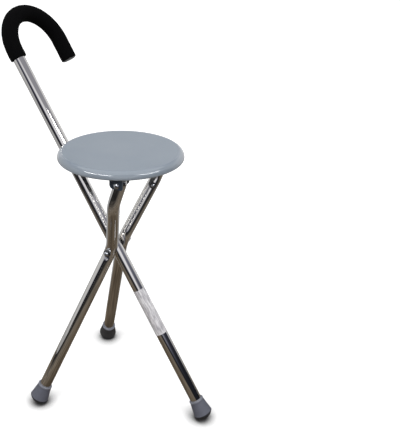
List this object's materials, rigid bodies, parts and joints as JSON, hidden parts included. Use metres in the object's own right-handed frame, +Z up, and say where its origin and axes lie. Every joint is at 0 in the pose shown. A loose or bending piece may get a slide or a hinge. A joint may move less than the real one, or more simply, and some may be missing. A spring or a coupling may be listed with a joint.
{
  "type": "folding walking stick seat",
  "caption": "Folding walking stick seat: a crook-handled chromed tube that stands with bent legs crossed at a hub bolt to carry a round flat seat, all on rubber feet.",
  "frame": {"origin": "on the floor under the middle of the standing object's outline", "axes": "+Z up, the standing object's longest extent; +X away from the handle, towards the shaft's foot; +Y the side that the crook reaches towards"},
  "size_m": [0.4654, 0.286, 0.7238],
  "materials": {
    "chrome_tube": "bright chrome plate on steel tube",
    "foam": "matte closed-cell foam",
    "black_plastic": "satin moulded plastic",
    "ferrule_rubber": "satin grey moulded rubber",
    "blank_label": "matte blank white film",
    "seat_plastic": "glossy moulded blue-grey plastic",
    "frame_paint": "dark slate-blue paint on pressed steel",
    "zinc_steel": "zinc-plated steel"
  },
  "bodies": {
    "shaft": {"main_shaft": "chrome_tube", "handle_grip": "foam", "handle_end_plug": "black_plastic", "shaft_ferrule": "ferrule_rubber", "shaft_ferrule_washer": "zinc_steel", "stop_collar": "zinc_steel", "collar_rivet": "zinc_steel", "shaft_label": "blank_label", "hub_bolt": "zinc_steel", "hub_cap_nut": "zinc_steel", "left_hub_spacer": "black_plastic", "right_hub_spacer": "black_plastic", "left_hub_washer": "zinc_steel", "right_hub_washer": "zinc_steel", "left_hub_plastic_washer": "black_plastic", "right_hub_plastic_washer": "black_plastic"},
    "left_leg": {"left_leg": "chrome_tube", "left_ferrule": "ferrule_rubber", "left_ferrule_washer": "zinc_steel"},
    "right_leg": {"right_leg": "chrome_tube", "right_ferrule": "ferrule_rubber", "right_ferrule_washer": "zinc_steel", "leg_buffer": "black_plastic", "buffer_screw": "zinc_steel"},
    "seat": {"seat_shell": "seat_plastic", "seat_frame": "frame_paint", "guide_plate": "frame_paint", "guide_loop": "zinc_steel", "frame_screws": "zinc_steel", "guide_screws": "zinc_steel", "left_pivot_bolt": "zinc_steel", "left_pivot_washers": "black_plastic", "left_pivot_nut": "black_plastic", "right_pivot_bolt": "zinc_steel", "right_pivot_washers": "black_plastic", "right_pivot_nut": "black_plastic"}
  },
  "joints": [
    {"name": "left_leg_fold", "type": "hinge", "parent": "shaft", "child": "left_leg", "pos_m": [0.02406, -0.00127, 0.32189], "axis": [0, -1, 0], "range_deg": [0, 50.7]},
    {"name": "right_leg_fold", "type": "hinge", "parent": "shaft", "child": "right_leg", "pos_m": [0.02406, -0.00127, 0.32189], "axis": [0, -1, 0], "range_deg": [0, 50.7]},
    {"name": "seat_turn", "type": "hinge", "parent": "left_leg", "child": "seat", "pos_m": [0.07984, -0.00127, 0.4867], "axis": [0, 1, 0], "range_deg": [0, 108.7]}
  ],
  "couplings": [
    {"joint": "right_leg_fold", "follows": "left_leg_fold", "ratio": 1},
    {"joint": "seat_turn", "follows": "left_leg_fold", "ratio": 2.1439}
  ]
}
